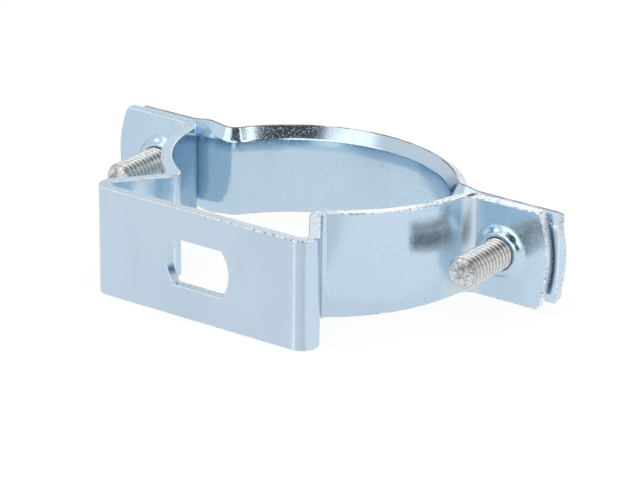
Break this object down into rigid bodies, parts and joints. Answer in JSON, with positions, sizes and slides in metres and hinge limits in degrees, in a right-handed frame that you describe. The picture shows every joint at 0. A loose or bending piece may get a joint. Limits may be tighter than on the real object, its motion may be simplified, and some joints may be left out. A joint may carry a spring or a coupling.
{
  "type": "spacer pipe clamp",
  "caption": "Folded steel strip saddle with a raised foot and fixing hole, closed over a pipe by a flared strap and two machine screws, holding the pipe clear of the wall.",
  "frame": {"origin": "centre of the fixing hole, on the mounting face of the base", "axes": "+X along the base, +Y from the mounting face towards the pipe, +Z along the pipe and across the strip"},
  "size_m": [0.0953, 0.0562, 0.02],
  "materials": {
    "plated_steel": "satin, blue passivated zinc plating",
    "screw_steel": "bright plated thread"
  },
  "bodies": {
    "saddle": {"saddle": "plated_steel"},
    "strap": {"strap": "plated_steel"},
    "left_screw": {"left_screw": "screw_steel"},
    "right_screw": {"right_screw": "screw_steel"}
  },
  "joints": [
    {"name": "strap_slide", "type": "slide", "parent": "saddle", "child": "strap", "axis": [0, 1, 0], "range_m": [0, 0.01]},
    {"name": "left_screw_turn", "type": "hinge", "parent": "strap", "child": "left_screw", "pos_m": [-0.0374, 0.0414, 0], "axis": [0, 1, 0], "range_deg": [0, 3600]},
    {"name": "right_screw_turn", "type": "hinge", "parent": "strap", "child": "right_screw", "pos_m": [0.0374, 0.0414, 0], "axis": [0, 1, 0], "range_deg": [0, 3600]}
  ],
  "couplings": [
    {"joint": "left_screw_turn", "follows": "strap_slide", "rad_per_m": 6283.2},
    {"joint": "right_screw_turn", "follows": "strap_slide", "rad_per_m": 6283.2}
  ]
}
